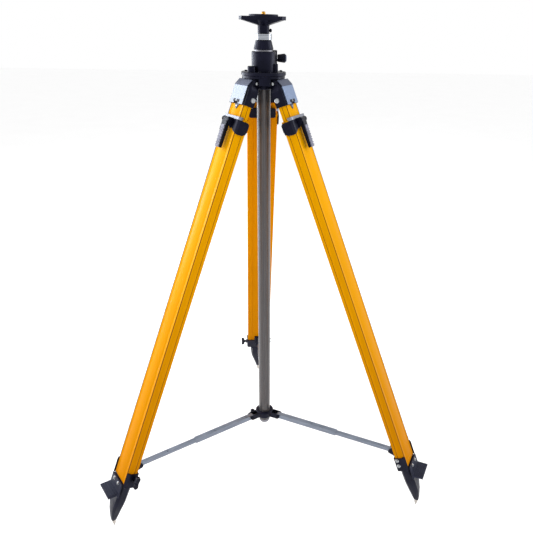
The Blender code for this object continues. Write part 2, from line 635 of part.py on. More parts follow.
def build_housing(materials):
    """The gear housing: a bored drum with a box behind it for the pinion, and a boss at its side."""
    low, high = HOUSING_SPAN
    profile = [(0, low), (HOUSING_RADIUS, low), (HOUSING_RADIUS, high - MM), (HOUSING_RADIUS - MM, high), (0, high)]
    mesh = finish_mesh("gear_housing", turned(profile, 36), True)
    housing = add_object("gear_housing", mesh, materials["casting"])
    left, right = GEAR_BOX_X
    front, back = GEAR_BOX_Y
    bottom, top = GEAR_BOX_Z
    corner = 4 * MM
    outline = [
        (front, bottom), (back - corner, bottom), (back, bottom + corner),
        (back, top - corner), (back - corner, top), (front, top),
    ]
    join(housing, prism(outline, left, right, "X"))
    join(housing, cylinder(5.5 * MM, low, 1052 * MM, 16), Matrix.Translation((*SIDE_BOSS, 0)))
    cut(housing, cylinder(WASHER_RADIUS + 2 * MM, high - GAP, top + MM, 36))
    cut(housing, cylinder(GUIDE_BORE, low - MM, high + MM, 32))
    cut(housing, cylinder(GUIDE_RADIUS + GAP, low - MM, GUIDE_SPAN[1] + GAP, 32))
    shaft = turn_to((1, 0, 0), (0, SHAFT_OFFSET, SHAFT_HEIGHT))
    cut(housing, cylinder(PINION_RADIUS + TOOTH_TIP + 0.6 * MM, -5 * MM, 5 * MM, 24), shaft)
    cut(housing, cylinder(SHAFT_RADIUS + GAP, left - MM, right + MM, 16), shaft)


def pinion_outline():
    """Stub teeth, one of which points along +Y of the pinion's own frame."""
    points = []
    for tooth in range(PINION_TEETH):
        middle = 90 + 360 * tooth / PINION_TEETH
        for radius, thickness, side in (
            (PINION_RADIUS - TOOTH_ROOT, 2.4 * MM, -1),
            (PINION_RADIUS + TOOTH_TIP, 0.9 * MM, -1),
            (PINION_RADIUS + TOOTH_TIP, 0.9 * MM, 1),
            (PINION_RADIUS - TOOTH_ROOT, 2.4 * MM, 1),
        ):
            angle = math.radians(middle) + side * thickness / 2 / radius
            points.append((radius * math.cos(angle), radius * math.sin(angle)))
    return points


def build_pinion(materials):
    """The pinion shaft along X and the lift knob on its end. Local Z is the shaft."""
    place = Matrix.Translation((0, SHAFT_OFFSET, SHAFT_HEIGHT)) @ Matrix.Rotation(math.radians(90), 4, "Y")
    mesh = finish_mesh("pinion_shaft", cylinder(SHAFT_RADIUS, GEAR_BOX_X[0] + MM, 42 * MM, 16), True)
    pinion = add_object("pinion_shaft", mesh, materials["steel"], None, place)
    join(pinion, prism(pinion_outline(), -4 * MM, 4 * MM))
    lobes = 10
    outline = []
    for i in range(4 * lobes):
        radius = (8.8 + 0.5 * math.cos(i * math.pi / 2)) * MM
        angle = 2 * math.pi * i / (4 * lobes)
        outline.append((radius * math.cos(angle), radius * math.sin(angle)))
    grip = prism(outline, 30.5 * MM, 48 * MM)
    knob = add_object("lift_knob", finish_mesh("lift_knob", grip, True), materials["knob"], None, place)
    join(knob, turned([(0, 47 * MM), (7.6 * MM, 47 * MM), (6.2 * MM, 50.6 * MM), (0, 51 * MM)], 20))
    cut(knob, cylinder(SHAFT_RADIUS + GAP, 30 * MM, 42.4 * MM, 16))


def build_washer(materials):
    low, high = WASHER_SPAN
    profile = [(GUIDE_BORE, low), (WASHER_RADIUS, low), (WASHER_RADIUS, high), (GUIDE_BORE, high)]
    mesh = finish_mesh("thrust_washer", turned(profile, 36, True), True)
    add_object("thrust_washer", mesh, materials["aluminium"])


def build_sleeve(materials):
    low, high = SLEEVE_SPAN
    profile = [
        (GUIDE_BORE, low), (20.2 * MM, low), (20.7 * MM, low + MM), (20.6 * MM, low + 2 * MM),
        (17 * MM, high - 1.2 * MM), (16 * MM, high), (GUIDE_BORE, high),
    ]
    add_object("clamp_sleeve", finish_mesh("clamp_sleeve", turned(profile, 36, True), True), materials["casting"])


def build_column(materials):
    low, high = COLUMN_SPAN
    profile = [(COLUMN_BORE, low), (COLUMN_RADIUS, low), (COLUMN_RADIUS, high), (COLUMN_BORE, high)]
    mesh = finish_mesh("lift_column", turned(profile, 24, True), True)
    column = add_object("lift_column", mesh, materials["tube"])
    pitch = math.pi * MODULE
    first = SHAFT_HEIGHT - (RACK_TEETH - 3 + 0.5) * pitch
    foot = first - pitch
    head = first + RACK_TEETH * pitch
    slot = box_outline(-RACK_HALF_WIDTH - GAP, RACK_HALF_WIDTH + GAP, RACK_BACK - GAP, 0.03)
    cut(column, prism(slot, foot - GAP, head + GAP))
    root = RACK_PITCH_LINE - TOOTH_ROOT
    tip = RACK_PITCH_LINE + TOOTH_TIP
    outline = [(RACK_BACK, head), (RACK_BACK, foot), (root, foot)]
    for tooth in range(RACK_TEETH):
        centre = first + tooth * pitch
        wide = TOOTH_THICKNESS / 2 + 0.45 * MM
        narrow = TOOTH_THICKNESS / 2 - 0.4 * MM
        outline += [(root, centre - wide), (tip, centre - narrow), (tip, centre + narrow), (root, centre + wide)]
    outline.append((root, head))
    rack = prism(outline, -RACK_HALF_WIDTH, RACK_HALF_WIDTH, "X")
    add_object("column_rack", finish_mesh("column_rack", rack, False), materials["steel"])


def build_stop_ring(materials):
    low, high = RING_SPAN
    bore = COLUMN_RADIUS + GAP
    profile = [
        (bore, low), (RING_RADIUS - MM, low), (RING_RADIUS, low + MM), (RING_RADIUS, high - MM),
        (RING_RADIUS - MM, high), (bore, high),
    ]
    add_object("stop_ring", finish_mesh("stop_ring", turned(profile, 32, True), True), materials["aluminium"])


def lobed_outline():
    """The plate's outline: three truncated lobes joined by a narrow waist."""
    points = []
    for azimuth in LEGS.values():
        turn = math.radians(azimuth) + LOBE_TURN
        lobe = [
            (LOBE_RADIUS - 4 * MM, -LOBE_HALF_WIDTH), (LOBE_RADIUS, -LOBE_HALF_WIDTH + 4 * MM),
            (LOBE_RADIUS, LOBE_HALF_WIDTH - 4 * MM), (LOBE_RADIUS - 4 * MM, LOBE_HALF_WIDTH),
        ]
        for x, y in lobe:
            points.append((x * math.cos(turn) - y * math.sin(turn), x * math.sin(turn) + y * math.cos(turn)))
        for bend in (36, 60, 84):
            angle = turn + math.radians(bend)
            radius = WAIST_RADIUS + abs(bend - 60) / 24 * 3 * MM
            points.append((radius * math.cos(angle), radius * math.sin(angle)))
    return points


def build_plate(materials):
    """The head plate: lobed table, raised pad, three ribs and the neck that sleeves on the column."""
    low, high = PLATE_SPAN
    mesh = finish_mesh("head_plate", prism(lobed_outline(), low, high), False)
    plate = add_object("head_plate", mesh, materials["casting"])
    join(plate, turned([(0, high - MM), (PAD_RADIUS, high - MM), (PAD_RADIUS - MM, PAD_TOP), (0, PAD_TOP)], 36))
    join(plate, turned([(0, 1124 * MM), (NECK_RADIUS, 1126 * MM), (22 * MM, low + MM), (0, low + MM)], 36))
    join(plate, cylinder(NECK_RADIUS, NECK_BOTTOM, low + MM, 32))
    rib = [(0, low + MM), (0, 1120 * MM), (NECK_RADIUS - MM, 1127 * MM), (LOBE_RADIUS - 3 * MM, low), (LOBE_RADIUS - 4 * MM, low + MM)]
    for azimuth in LEGS.values():
        turn = Matrix.Rotation(math.radians(azimuth) + LOBE_TURN, 4, "Z")
        join(plate, prism(rib, -6 * MM, 6 * MM, "Y"), turn)
    cut(plate, cylinder(COLUMN_RADIUS + GAP, NECK_BOTTOM - MM, COLUMN_SPAN[1] + GAP, 24))
    cut(plate, cylinder(8.3 * MM, 1130 * MM, PAD_TOP + MM, 20))
    cut(plate, cylinder(2.3 * MM, 0, 0.03, 12), turn_to((1, 0, 0), (0, 0, PLATE_KNOB_HEIGHT)))


def build_screw(materials):
    """The centring screw: a 5/8 inch body in the plate with a pilot tip above the pad."""
    body = 7.9 * MM
    low = 1130.3 * MM
    profile = [
        (0, low), (body - MM, low), (body, low + MM), (body, PAD_TOP - 1.5 * MM), (body - 1.2 * MM, PAD_TOP - 0.4 * MM),
        (4.2 * MM, PAD_TOP - 0.4 * MM), (4 * MM, PAD_TOP + 4 * MM), (2.6 * MM, PAD_TOP + 5.3 * MM), (0, PAD_TOP + 5.6 * MM),
    ]
    add_object("instrument_screw", finish_mesh("instrument_screw", turned(profile, 20), True), materials["brass"])


def build_plate_knob(materials):
    start = COLUMN_RADIUS + 0.5 * MM
    face = NECK_RADIUS + 0.4 * MM
    profile = [
        (0, start), (2 * MM, start), (2 * MM, face), (3 * MM, face), (3.6 * MM, face + MM),
        (3.6 * MM, face + 3 * MM), (2.4 * MM, face + 4.4 * MM), (0, face + 4.8 * MM),
    ]
    mesh = finish_mesh("plate_lock_knob", turned(profile, 14), True)
    add_object("plate_lock_knob", mesh, materials["knob"], None, turn_to((1, 0, 0), (0, 0, PLATE_KNOB_HEIGHT)))


def build_level(materials):
    low = FLANGE_SPAN[1] + GAP
    place = Matrix.Translation((*LEVEL_PLACE, 0))
    cup = [
        (0, low), (LEVEL_RADIUS, low), (LEVEL_RADIUS, LEVEL_TOP - MM), (LEVEL_RADIUS - MM, LEVEL_TOP),
        (6.4 * MM, LEVEL_TOP), (6.4 * MM, LEVEL_TOP - 4 * MM), (0, LEVEL_TOP - 4 * MM),
    ]
    add_object("level_housing", finish_mesh("level_housing", turned(cup, 20), True), materials["casting"], None, place)
    base = LEVEL_TOP - 4 * MM + GAP
    vial = [(0, base), (6.1 * MM, base), (6.1 * MM, LEVEL_TOP - MM), (4 * MM, LEVEL_TOP - 0.2 * MM), (0, LEVEL_TOP)]
    add_object("level_vial", finish_mesh("level_vial", turned(vial, 20), True), materials["glass"], None, place)


def pedal_shape():
    """The heel of the step pedal's top, and the directions out along it and up from it, in X and Z."""
    angle = LEG_TILT - PEDAL_RISE
    heel = Vector((FACE_OUT + 6.1 * MM, -PEDAL_DOWN))
    return heel, Vector((math.cos(angle), -math.sin(angle))), Vector((math.sin(angle), math.cos(angle)))


def centre_on_footprint():
    """Puts the origin under the middle of the bounding box, which the three pedals' toes set."""
    heel, out, _ = pedal_shape()
    toe = heel + out * PEDAL_REACH
    reach = HINGE_RADIUS + toe.x * math.cos(LEG_TILT) - toe.y * math.sin(LEG_TILT)
    front = reach * math.sin(math.radians(30)) + PEDAL_HALF_WIDTH * math.cos(math.radians(30))
    loose = [obj for obj in bpy.data.objects if obj.parent is None]
    root = add_frame("tripod", Matrix())
    for obj in loose:
        obj.parent = root
    root.location.y = (front - reach) / 2


def main():
    clear_scene()
    materials = make_materials()
    for leg, azimuth in LEGS.items():
        build_leg(leg, azimuth, materials)
        build_strut(leg, azimuth, materials)
    for build in (
        build_spreader_hub, build_hub_knob, build_guide_tube, build_head_hub, build_housing,
        build_pinion, build_washer, build_sleeve, build_column, build_stop_ring, build_plate, build_screw, build_plate_knob,
        build_level,
    ):
        build(materials)
    centre_on_footprint()


main()
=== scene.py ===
"""Looks for the elevating survey tripod: detailed pieces, materials, studio and camera.

Every leg has its own frame on its hinge axis: X out of the leg's outer face, Y to its left seen
from outside, Z up along it. Shapes, places and bevels are in millimetres, and turn into metres
where vertices and matrices are made. Lights and the camera are placed in metres.
"""
import math

import bmesh
import bpy
from mathutils import Matrix, Vector


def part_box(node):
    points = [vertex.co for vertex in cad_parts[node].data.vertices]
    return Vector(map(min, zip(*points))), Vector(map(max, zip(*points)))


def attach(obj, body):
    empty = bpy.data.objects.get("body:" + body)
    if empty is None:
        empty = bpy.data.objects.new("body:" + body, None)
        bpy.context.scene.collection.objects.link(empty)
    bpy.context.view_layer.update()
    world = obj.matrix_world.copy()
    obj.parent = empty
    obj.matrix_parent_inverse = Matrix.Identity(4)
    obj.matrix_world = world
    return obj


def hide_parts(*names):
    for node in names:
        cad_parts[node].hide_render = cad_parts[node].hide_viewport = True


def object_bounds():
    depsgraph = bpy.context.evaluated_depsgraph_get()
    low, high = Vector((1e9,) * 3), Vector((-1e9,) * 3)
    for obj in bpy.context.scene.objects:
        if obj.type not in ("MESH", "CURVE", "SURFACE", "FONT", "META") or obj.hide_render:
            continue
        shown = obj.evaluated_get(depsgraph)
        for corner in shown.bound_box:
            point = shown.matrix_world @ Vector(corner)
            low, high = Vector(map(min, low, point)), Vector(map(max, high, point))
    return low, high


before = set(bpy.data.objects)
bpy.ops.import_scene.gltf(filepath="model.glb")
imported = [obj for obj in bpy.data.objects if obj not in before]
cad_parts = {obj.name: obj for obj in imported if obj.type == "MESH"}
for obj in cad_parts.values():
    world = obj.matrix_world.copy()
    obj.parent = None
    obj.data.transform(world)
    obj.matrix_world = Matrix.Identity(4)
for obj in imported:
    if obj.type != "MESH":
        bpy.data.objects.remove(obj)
CAD_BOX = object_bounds()

MM = 0.001
AXIS_Y = sum((corner.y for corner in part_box("guide_tube")), 0.0) / 2
COLUMN = Matrix.Translation((0, AXIS_Y, 0))
SIDES = ((1, "l"), (-1, "r"))

# The legs: their directions round the column, the hinge's place and the splay of the open leg.
LEGS = {"rear": 90.0, "left": 210.0, "right": 330.0}
HINGE_OUT, HINGE_UP = 35.5, 1014
TILT = math.radians(22.04)

# The outer fibreglass section in the leg's frame, then how the inner one differs from it.
FACE_OUT, FACE_IN, HALF = 15.6, -6.6, 35
TUBE_WALL = 2.2
OUTER_SPAN, INNER_SPAN = (80, 956), (14.5, 780)
INNER_GROW = -3
GROOVE_EDGES = (3, 4, 5, 10, 11)

# Fittings, as distances along the leg's X and below its hinge.
SHOULDER_BOLT_DOWN = 35
CLAMP_TOP, CLAMP_BAND_LOW, CLAMP_BAND_TOP = 82.5, 82.2, 75.4
CLAMP_EDGE = [101, 107.5, 111, 112, 112, 111, 109.5, 106.5, 103, 99.5, 96.5]
REAR_STRAP_RISE = 22
LEVER_OUT, LEVER_DOWN = 26, 87
BRACKET_BOLTS_DOWN = {"painted_top_tone": 929, "lower": 944}
WING_DOWN = 937
PEDAL_BOLT_DOWN, PEDAL_DOWN = 963, 980
PEDAL_RISE = math.radians(0.6)

# The spreader hub and the head, as heights and distances from the column's axis.
HUB_UP, HUB_PIN_OUT = 150, 42
PINION_BACK, PINION_UP = 23.3, 1062
LEVEL_PLACE = (-26.5, -21.8, 0)
FLANGE_TOP, FLANGE_SCREW_OUT = 1036, 39
COVER_BACK = 39.4
SLEEVE_LOW, SLEEVE_TOP, SLEEVE_BORE = 1079.8, 1098.1, 12.9
POINTS_PER_FLUTE = 6

# Corners of the CAD meshes that are closer than this are one corner, in metres.
MERGE = 2e-5
BEVEL_FROM, BEVEL_SHARP, PLAIN_SHARP = math.radians(32), math.radians(40), math.radians(35)


def shift(x, y, z):
    return Matrix.Translation((x * MM, y * MM, z * MM))


def turn_to(axis, place=(0, 0, 0)):
    """Stands Z along an axis, at a place."""
    turn = Vector((0, 0, 1)).rotation_difference(Vector(axis))
    return shift(*place) @ turn.to_matrix().to_4x4()


def leg_matrix(azimuth):
    place = COLUMN @ Matrix.Rotation(math.radians(azimuth), 4, "Z")
    return place @ shift(HINGE_OUT, 0, HINGE_UP) @ Matrix.Rotation(-TILT, 4, "Y")


LEG_PLACES = {leg: leg_matrix(azimuth) for leg, azimuth in LEGS.items()}


# Materials ------------------------------------------------------------------------------------
class Shader:
    """A Principled material and short calls that add to its node tree."""

    def __init__(self, name, colour, roughness, metallic=0.0, **inputs):
        self.material = bpy.data.materials.new(name)
        self.material.use_nodes = True
        self.tree = self.material.node_tree
        self.main = self.tree.nodes["Principled BSDF"]
        self.main.inputs["Base Color"].default_value = (*colour, 1)
        self.main.inputs["Roughness"].default_value = roughness
        self.main.inputs["Metallic"].default_value = metallic
        for key, value in inputs.items():
            self.main.inputs[key.replace("_", " ")].default_value = value

    def node(self, kind, **values):
        made = self.tree.nodes.new(kind)
        for key, value in values.items():
            if key in made.inputs:
                made.inputs[key].default_value = value
            else:
                setattr(made, key, value)
        return made

    def link(self, source, target):
        self.tree.links.new(source, target)

    def noise(self, scale, stretch=(1, 1, 1), detail=3.0, turn=(0, 0, 0)):
        place = self.node("ShaderNodeTexCoord")
        mapping = self.node("ShaderNodeMapping", Scale=stretch, Rotation=turn)
        texture = self.node("ShaderNodeTexNoise", Scale=scale, Detail=detail)
        self.link(place.outputs["Object"], mapping.inputs["Vector"])
        self.link(mapping.outputs["Vector"], texture.inputs["Vector"])
        return texture.outputs["Fac"]

    def ramp(self, value, low, high, start=0.35, end=0.65):
        ramp = self.node("ShaderNodeValToRGB")
        for element, place, colour in zip(ramp.color_ramp.elements, (start, end), (low, high)):
            element.position = place
            element.color = (*colour, 1)
        self.link(value, ramp.inputs["Fac"])
        return ramp.outputs["Color"]

    def paint(self, value, low, high, start=0.35, end=0.65):
        self.link(self.ramp(value, low, high, start, end), self.main.inputs["Base Color"])

    def gloss(self, value, low, high):
        self.link(self.ramp(value, (low,) * 3, (high,) * 3), self.main.inputs["Roughness"])

    def bump(self, value, strength, distance):
        bump = self.node("ShaderNodeBump", Strength=strength, Distance=distance * MM)
        self.link(value, bump.inputs["Height"])
        self.link(bump.outputs["Normal"], self.main.inputs["Normal"])


def fibreglass(name, azimuth, painted_top_tone):
    """Yellow pultruded tube: long fibres and a cloudy gloss, with painted shade that deepens the
    tone towards the foot, where less light falls.
    """
    shader = Shader(name, (0.5, 0.2, 0.002), 0.5, Specular_IOR_Level=0.01)
    turn = Matrix.Rotation(TILT, 3, "Y") @ Matrix.Rotation(-math.radians(azimuth), 3, "Z")
    fibres = shader.noise(900.0, (1, 1, 0.012), 2.0, turn.to_euler())
    blotches = shader.noise(14.0, (1, 1, 0.6))
    # Painted shade: the colour runs by height from a deeper tone at the foot to the lit top tone.
    place = shader.node("ShaderNodeTexCoord")
    height = shader.node("ShaderNodeSeparateXYZ")
    shader.link(place.outputs["Object"], height.inputs["Vector"])
    tone = shader.ramp(height.outputs["Z"], (0.5, 0.18, 0.0), painted_top_tone, 0.12, 0.9)
    for value, amount in ((fibres, 0.16), (blotches, 0.1)):
        mix = shader.node("ShaderNodeMix", data_type="RGBA", blend_type="MULTIPLY")
        mix.inputs["Factor"].default_value = amount
        shader.link(tone, mix.inputs[6])
        shader.link(shader.ramp(value, (0.6, 0.5, 0.4), (1, 1, 1), 0.3, 0.7), mix.inputs[7])
        tone = mix.outputs[2]
    shader.link(tone, shader.main.inputs["Base Color"])
    shader.bump(fibres, 0.15, 0.2)
    shader.gloss(blotches, 0.3, 0.42)
    return shader.material


def casting(name, dark, light, roughness=0.42, specular=0.16):
    """Powder-coated casting or moulded plastic: fine orange peel and faint cloudiness."""
    shader = Shader(name, dark, roughness, Specular_IOR_Level=specular,
                    Specular_Tint=(0.6, 0.64, 1, 1))
    clouds = shader.noise(60.0)
    shader.paint(clouds, dark, light)
    shader.gloss(clouds, roughness - 0.08, roughness + 0.1)
    shader.bump(shader.noise(1400.0, detail=1.0), 0.25, 0.3)
    return shader.material


def metal(name, dark, light, roughness, stretch, scale=700.0, metallic=1.0):
    """Metal with a directional grain."""
    shader = Shader(name, light, roughness, metallic)
    grain = shader.noise(scale, stretch)
    shader.paint(grain, dark, light, 0.2, 0.8)
    shader.gloss(grain, roughness - 0.07, roughness + 0.09)
    shader.bump(grain, 0.12, 0.2)
    return shader.material


def level_liquid():
    shader = Shader("level_liquid", (0.55, 0.75, 0.12), 0.08, Coat_Weight=0.6)
    shader.paint(shader.noise(120.0), (0.45, 0.62, 0.08), (0.62, 0.8, 0.18))
    return shader.material


# Stretches of the grain: drawn or rolled along Z, and turned or drawn across it.
DRAWN, TURNED = (1, 1, 0.05), (0.05, 0.05, 1)

MATERIALS = {
    "black": casting("black_casting", (0.0025, 0.0025, 0.006), (0.005, 0.005, 0.012), 0.38),
    "slate": casting("slate_casting", (0.012, 0.013, 0.022), (0.022, 0.024, 0.038), 0.5),
    "plastic": casting("black_plastic", (0.002, 0.002, 0.004), (0.005, 0.005, 0.008), 0.34),
    "grey": casting("grey_casting", (0.035, 0.042, 0.065), (0.055, 0.064, 0.095), 0.45, 0.5),
    "plate": metal("satin_plate", (0.15, 0.2, 0.31), (0.23, 0.29, 0.42), 0.36, DRAWN),
    # Painted light: a separate, greyer copy of the plate metal for the left leg's apron, toned for
    # how the lamps fall on that side.
    "left_plate_painted_light": metal("satin_plate_left", (0.14, 0.157, 0.19), (0.215, 0.235, 0.28), 0.42,
                        DRAWN),
    "band": metal("band_grey", (0.14, 0.145, 0.17), (0.24, 0.25, 0.29), 0.4, (1, 1, 0.2)),
    "lever": casting("lever_grey", (0.15, 0.15, 0.19), (0.24, 0.24, 0.3), 0.4),
    "ring": metal("turned_aluminium", (0.26, 0.28, 0.31), (0.46, 0.48, 0.52), 0.22,
                  (0.02, 0.02, 1), 1500.0),
    "tube": metal("anodised_tube", (0.055, 0.052, 0.055), (0.1, 0.093, 0.094), 0.25,
                  (1, 1, 0.008), 700.0, 0.4),
    "plug": metal("grey_plug", (0.18, 0.18, 0.2), (0.26, 0.26, 0.29), 0.5, (1, 1, 1)),
    "strut": metal("strut_aluminium", (0.14, 0.16, 0.2), (0.26, 0.29, 0.35), 0.32, TURNED),
    "steel": metal("bright_steel", (0.32, 0.33, 0.34), (0.5, 0.52, 0.54), 0.25, (1, 1, 0.3)),
    "spike": metal("spike_steel", (0.36, 0.33, 0.3), (0.56, 0.52, 0.48), 0.3, TURNED),
    "brass": metal("brass", (0.36, 0.17, 0.02), (0.5, 0.26, 0.04), 0.3, TURNED),
    "groove": casting("groove_brown", (0.05, 0.016, 0.002), (0.09, 0.03, 0.004), 0.6, 0.1),
    "ink": casting("dark_marking", (0.02, 0.02, 0.03), (0.04, 0.04, 0.06), 0.6),
}
for leg_name, leg_azimuth in LEGS.items():
    # Painted shade: the rear leg gets a deeper, redder copy of the same yellow than the two front
    # legs.
    painted_leg_top_tone = (0.72, 0.27, 0) if leg_name == "rear" else (0.76, 0.345, 0)
    MATERIALS["yellow_" + leg_name] = fibreglass("fibreglass_" + leg_name, leg_azimuth, painted_leg_top_tone)
MATERIALS["liquid"] = level_liquid()


# Shapes ---------------------------------------------------------------------------------------
def loft(rings, closed=False):
    """Skins rings of points. It caps the ends, or joins the last ring to the first."""
    bm = bmesh.new()
    loops = [[bm.verts.new([value * MM for value in point]) for point in ring] for ring in rings]
    pairs = list(zip(loops, loops[1:]))
    if closed:
        pairs.append((loops[-1], loops[0]))
    for low, high in pairs:
        for i in range(len(low)):
            j = (i + 1) % len(low)
            bm.faces.new((low[i], low[j], high[j], high[i]))
    if not closed:
        bm.faces.new(loops[0])
        bm.faces.new(loops[-1])
    bmesh.ops.recalc_face_normals(bm, faces=bm.faces)
    return bm


def prism(outline, low, high, along="Z"):
    """An outline drawn out along an axis. Its two numbers are the other axes, in order."""
    placed = {
        "Z": lambda a, b, c: (a, b, c),
        "Y": lambda a, b, c: (a, c, b),
        "X": lambda a, b, c: (c, a, b),
    }[along]
    return loft([[placed(a, b, c) for a, b in outline] for c in (low, high)])


def turned(profile, segments=48):
    """A profile of radius and height turned about Z. A radius of 0 is a point on the axis."""
    bm = bmesh.new()
    turns = [2 * math.pi * i / segments for i in range(segments)]
    rings = []
    for radius, height in profile:
        ring = [(radius * math.cos(a), radius * math.sin(a)) for a in (turns if radius else (0,))]
        rings.append([bm.verts.new((x * MM, y * MM, height * MM)) for x, y in ring])
    for first, second in zip(rings, rings[1:]):
        for i in range(segments):
            j = (i + 1) % segments
            corners = [first[i % len(first)], first[j % len(first)]]
            corners += [second[j % len(second)], second[i % len(second)]]
            bm.faces.new(list(dict.fromkeys(corners)))
    bmesh.ops.recalc_face_normals(bm, faces=bm.faces)
    return bm


def fluted_ring(height, flutes, reach):
    """A ring whose radius is a function of the place within a flute, as an angle."""
    count = flutes * POINTS_PER_FLUTE
    ring = []
    for i in range(count):
        angle = 2 * math.pi * i / count
        radius = reach(angle * flutes)
        ring.append((radius * math.cos(angle), radius * math.sin(angle), height))
    return ring


def arc(centre, radius, start, end, steps):
    """Points on a circle between two angles in degrees."""
    angles = [math.radians(start + (end - start) * i / steps) for i in range(steps + 1)]
    return [(centre[0] + radius * math.cos(a), centre[1] + radius * math.sin(a)) for a in angles]


def rounded_box(left, right, bottom, top, radius, steps):
    corners = ((right, top, 0), (left, top, 90), (left, bottom, 180), (right, bottom, 270))
    points = []
    for x, y, start in corners:
        cx = x - radius if x == right else x + radius
        cy = y - radius if y == top else y + radius
        points += arc((cx, cy), radius, start, start + 90, steps)
    return points


def add_bevel(obj, width, segments):
    bevel = obj.modifiers.new("Bevel", "BEVEL")
    bevel.width = width * MM
    bevel.segments = segments
    bevel.limit_method = "ANGLE"
    bevel.angle_limit = BEVEL_FROM
    bevel.use_clamp_overlap = True
    bevel.harden_normals = True
    obj.data.set_sharp_from_angle(angle=BEVEL_SHARP)


def piece(name, bm, material, body, place, bevel, replaces=(), segments=2):
    """A new visible piece that rides on a body. A bevel of 0 leaves its edges as they are."""
    mesh = bpy.data.meshes.new(name)
    bm.transform(place)
    bm.to_mesh(mesh)
    bm.free()
    obj = bpy.data.objects.new(name, mesh)
    bpy.context.scene.collection.objects.link(obj)
    mesh.materials.append(MATERIALS[material])
    if bevel:
        add_bevel(obj, bevel, segments)
    mesh.shade_smooth()
    if not bevel:
        mesh.set_sharp_from_angle(angle=PLAIN_SHARP)
    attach(obj, body)
    if replaces:
        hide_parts(*replaces)
    return obj


def refine(node, material, body, width):
    """Stands for a CAD node with the same shape and softened edges."""
    bm = bmesh.new()
    bm.from_mesh(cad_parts[node].data)
    bmesh.ops.remove_doubles(bm, verts=bm.verts, dist=MERGE)
    bmesh.ops.dissolve_limit(bm, angle_limit=math.radians(1), verts=bm.verts, edges=bm.edges)
    piece(node + "_look", bm, material, body, Matrix(), width, [node])


def keep(node, material):
    """A carried-over CAD node with a new material."""
    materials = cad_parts[node].data.materials
    if len(materials):
        materials[0] = MATERIALS[material]
    else:
        materials.append(MATERIALS[material])


# Leg pieces -----------------------------------------------------------------------------------
def tube_profile(grow, detail=True):
    """The leg tube's outline in X, Y: broad chamfers with a bead line outside, grooves inside."""
    half = HALF + grow
    outer = FACE_OUT + grow
    inner = FACE_IN - grow
    cut = 0.7 if detail else 0.0
    flat = half - 7
    side = [
        (outer, flat - 9), (outer - 0.3 * cut, flat - 8.6), (outer, flat - 8.2),
        (outer, flat - 1.2), (outer - cut, flat - 0.8), (outer - cut, flat + 0.8),
        (outer - 0.2, flat + 1.6), (outer - 0.7, flat + 2.2), (outer - 4.6, half - 0.5),
        (outer - 5.6, half), (inner + 9, half), (inner + 8.5, half - 0.5 * cut),
        (inner + 8, half), (inner + 2, half), (inner + 0.6, half - 0.6), (inner, half - 2),
        (inner, 21.7), (inner + cut, 21.2), (inner + cut, 20.4), (inner, 19.9),
    ]
    return side + [(x, -y) for x, y in reversed(side)]


def leg_section(name, leg, span, grow, body, replaced):
    """A hollow fibreglass section with brown lines in its outer grooves."""
    top, bottom = span
    outer = tube_profile(grow)
    inner = tube_profile(grow - TUBE_WALL, False)
    rings = [
        [(x, y, -down) for x, y in outline]
        for outline, down in ((outer, bottom), (outer, top), (inner, top), (inner, bottom))
    ]
    obj = piece(name, loft(rings, True), "yellow_" + leg, body, LEG_PLACES[leg], 0,
                [replaced])
    obj.data.materials.append(MATERIALS["groove"])
    count = len(outer)
    dark = set(GROOVE_EDGES) | {count - 2 - edge for edge in GROOVE_EDGES}
    for face in obj.data.polygons[:count]:
        if face.index in dark:
            face.material_index = 1


def leg_sections(leg):
    leg_section(f"outer_section_{leg}", leg, OUTER_SPAN, 0, f"lower_{leg}", f"lower_leg_{leg}")
    leg_section(f"inner_section_{leg}", leg, INNER_SPAN, INNER_GROW, f"leg_{leg}",
                f"upper_leg_{leg}")


def shoulder_plate(leg):
    """Bent cover plate on the shoulder: a sloped top, a straight apron and a small pointed tab."""
    place = LEG_PLACES[leg]
    body = f"leg_{leg}"
    half, face = 25.5, 16.9
    slope = [(10.6, 3.2), (17.4, -10.6), (18.7, -11.4), (18.3, -9.2), (11.8, 4.4)]
    piece(f"shoulder_slope_{leg}", prism(slope, -half, half, "Y"), "grey", body, place, 0.4)
    apron = [(-half, -11.2), (half, -11.2), (half, -49.6), (9, -49.6), (8, -46), (-8, -46),
             (-9, -49.6), (-half, -49.6)]
    # The left leg's apron takes the painted-light copy of the plate metal.
    piece(f"shoulder_apron_{leg}", prism(apron, face - 1.2, face + 1.6, "X"),
          "left_plate_painted_light" if leg == "left" else "plate", body, place, 0.35)
    for low, high, name in ((-11, -2.4, "l"), (2.4, 11, "r")):
        latch = rounded_box(low, high, -46.6, -40.6, 1.6, 3)
        piece(f"shoulder_latch_{name}_{leg}", prism(latch, face + 1.3, face + 2.7, "X"), "black",
              body, place, 0.3)
    patch = rounded_box(-2.6, 2.6, -45.4, -41.6, 0.8, 3)
    piece(f"shoulder_patch_{leg}", prism(patch, face + 1.3, face + 2.3, "X"), "ring", body, place,
          0)
    tab = [(-8.5, -45), (8.5, -45), (8, -50.5), (1.2, -60), (-1.2, -60), (-8, -50.5)]
    piece(f"shoulder_tab_{leg}", prism(tab, 12.75, 14.2, "X"), "grey", body, place, 0.4)
    rivet = [(0, 1.2), (1.6, 0.9), (2.1, 0), (0, 0)]
    piece(f"shoulder_tab_rivet_{leg}", turned(rivet, 20), "steel", body,
          place @ turn_to((1, 0, 0), (14.15, 0, -54)), 0)


